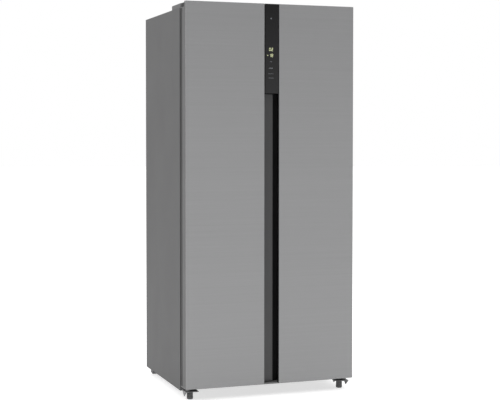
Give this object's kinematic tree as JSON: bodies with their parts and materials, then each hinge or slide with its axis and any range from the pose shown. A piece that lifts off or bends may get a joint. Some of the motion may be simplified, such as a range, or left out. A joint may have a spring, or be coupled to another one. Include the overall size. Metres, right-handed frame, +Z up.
{
  "type": "side by side refrigerator",
  "caption": "Tall side by side refrigerator with grey glass doors, a recessed centre handle strip, a control panel, shelves, drawers and door bins.",
  "frame": {"origin": "on the floor under the middle of the appliance's outline", "axes": "+Z up, doors face -Y, +X to the right of someone facing the doors"},
  "size_m": [0.814, 0.686, 1.79],
  "materials": {
    "cabinet_grey": "satin",
    "galvanised_steel": "satin",
    "insulation_foam": "matte",
    "white_liner": "satin",
    "aluminium_coil": "satin",
    "black_painted_steel": "satin",
    "black_plastic": "matte",
    "cover_grey_plastic": "satin",
    "cap_grey_plastic": "satin",
    "door_frame_grey": "satin",
    "door_glass_grey": "gloss",
    "panel_black_glass": "gloss",
    "handle_channel_black": "satin",
    "gasket_grey": "matte",
    "shelf_glass": "gloss",
    "shelf_trim_silver": "satin",
    "clear_plastic": "gloss",
    "lamp_diffuser": "satin",
    "white_plastic_flap": "matte"
  },
  "bodies": {
    "cabinet": {"back_panel": "galvanised_steel", "base_panel": "galvanised_steel", "compressor": "black_painted_steel", "compressor_bulkhead": "galvanised_steel", "condenser": "black_painted_steel", "crisper_1": "clear_plastic", "crisper_2": "clear_plastic", "drip_tray": "black_plastic", "evaporator": "aluminium_coil", "evaporator_cover": "white_liner", "fan_motors": "black_plastic", "foam_insulation": "insulation_foam", "freezer_drawer_1": "clear_plastic", "freezer_drawer_2": "clear_plastic", "freezer_liner": "white_liner", "freezer_shelf_glasses": "shelf_glass", "freezer_shelf_trims": "shelf_trim_silver", "fridge_air_duct": "white_liner", "fridge_liner": "white_liner", "fridge_shelf_glasses": "shelf_glass", "fridge_shelf_trims": "shelf_trim_silver", "hinge_covers": "cover_grey_plastic", "hinge_screws": "galvanised_steel", "lamps": "lamp_diffuser", "left_lower_hinge": "galvanised_steel", "left_side_panel": "cabinet_grey", "left_upper_hinge": "galvanised_steel", "mullion_cover": "white_liner", "power_inlet": "black_plastic", "rear_grille": "black_plastic", "right_lower_hinge": "galvanised_steel", "right_side_panel": "cabinet_grey", "right_upper_hinge": "galvanised_steel", "top_panel": "cabinet_grey"},
    "left_door": {"left_door_bins": "clear_plastic", "left_door_end_caps": "cap_grey_plastic", "left_door_foam": "insulation_foam", "left_door_frame": "door_frame_grey", "left_door_gasket": "gasket_grey", "left_door_glass": "door_glass_grey", "left_door_liner": "white_liner", "left_handle_channel": "handle_channel_black"},
    "right_door": {"right_door_bins": "clear_plastic", "right_door_end_caps": "cap_grey_plastic", "right_door_foam": "insulation_foam", "right_door_frame": "door_frame_grey", "right_door_gasket": "gasket_grey", "right_door_glass": "door_glass_grey", "right_door_liner": "white_liner", "right_handle_channel": "handle_channel_black", "control_panel": "panel_black_glass"},
    "evaporator_fan": {"evaporator_fan": "black_plastic"},
    "condenser_fan": {"condenser_fan": "black_plastic"},
    "damper_flap": {"damper_flap": "white_plastic_flap"},
    "left_roller": {"left_roller": "black_plastic"},
    "right_roller": {"right_roller": "black_plastic"},
    "left_foot_stud": {"left_foot_stud": "galvanised_steel"},
    "right_foot_stud": {"right_foot_stud": "galvanised_steel"},
    "left_foot_pad": {"left_foot_pad": "black_plastic"},
    "right_foot_pad": {"right_foot_pad": "black_plastic"}
  },
  "joints": [
    {"name": "left_door_swing", "type": "hinge", "parent": "cabinet", "child": "left_door", "pos_m": [-0.385, -0.298, 0.9], "axis": [0, 0, -1], "range_deg": [0, 110]},
    {"name": "right_door_swing", "type": "hinge", "parent": "cabinet", "child": "right_door", "pos_m": [0.385, -0.298, 0.9], "axis": [0, 0, 1], "range_deg": [0, 110]},
    {"name": "evaporator_fan_spin", "type": "hinge", "parent": "cabinet", "child": "evaporator_fan", "pos_m": [-0.21088, 0.252, 0.82], "axis": [0, 1, 0], "continuous": true},
    {"name": "condenser_fan_spin", "type": "hinge", "parent": "cabinet", "child": "condenser_fan", "pos_m": [0.052, 0.228, 0.1305], "axis": [1, 0, 0], "continuous": true},
    {"name": "damper_flap_turn", "type": "hinge", "parent": "cabinet", "child": "damper_flap", "pos_m": [0.17863, 0.291, 1.52], "axis": [1, 0, 0], "range_deg": [0, 90]},
    {"name": "left_roller_spin", "type": "hinge", "parent": "cabinet", "child": "left_roller", "pos_m": [-0.37, 0.319, 0.016], "axis": [1, 0, 0], "continuous": true},
    {"name": "left_foot_lift", "type": "slide", "parent": "cabinet", "child": "left_foot_stud", "axis": [0, 0, 1], "range_m": [-0.006, 0.006]},
    {"name": "left_foot_turn", "type": "hinge", "parent": "left_foot_stud", "child": "left_foot_pad", "pos_m": [-0.369, -0.276, 0.015], "axis": [0, 0, 1], "range_deg": [-1450, 1450]},
    {"name": "right_roller_spin", "type": "hinge", "parent": "cabinet", "child": "right_roller", "pos_m": [0.37, 0.319, 0.016], "axis": [1, 0, 0], "continuous": true},
    {"name": "right_foot_lift", "type": "slide", "parent": "cabinet", "child": "right_foot_stud", "axis": [0, 0, 1], "range_m": [-0.006, 0.006]},
    {"name": "right_foot_turn", "type": "hinge", "parent": "right_foot_stud", "child": "right_foot_pad", "pos_m": [0.369, -0.276, 0.015], "axis": [0, 0, 1], "range_deg": [-1450, 1450]}
  ],
  "couplings": [
    {"joint": "left_foot_turn", "follows": "left_foot_lift", "rad_per_m": 4188.8},
    {"joint": "right_foot_turn", "follows": "right_foot_lift", "rad_per_m": 4188.8}
  ]
}
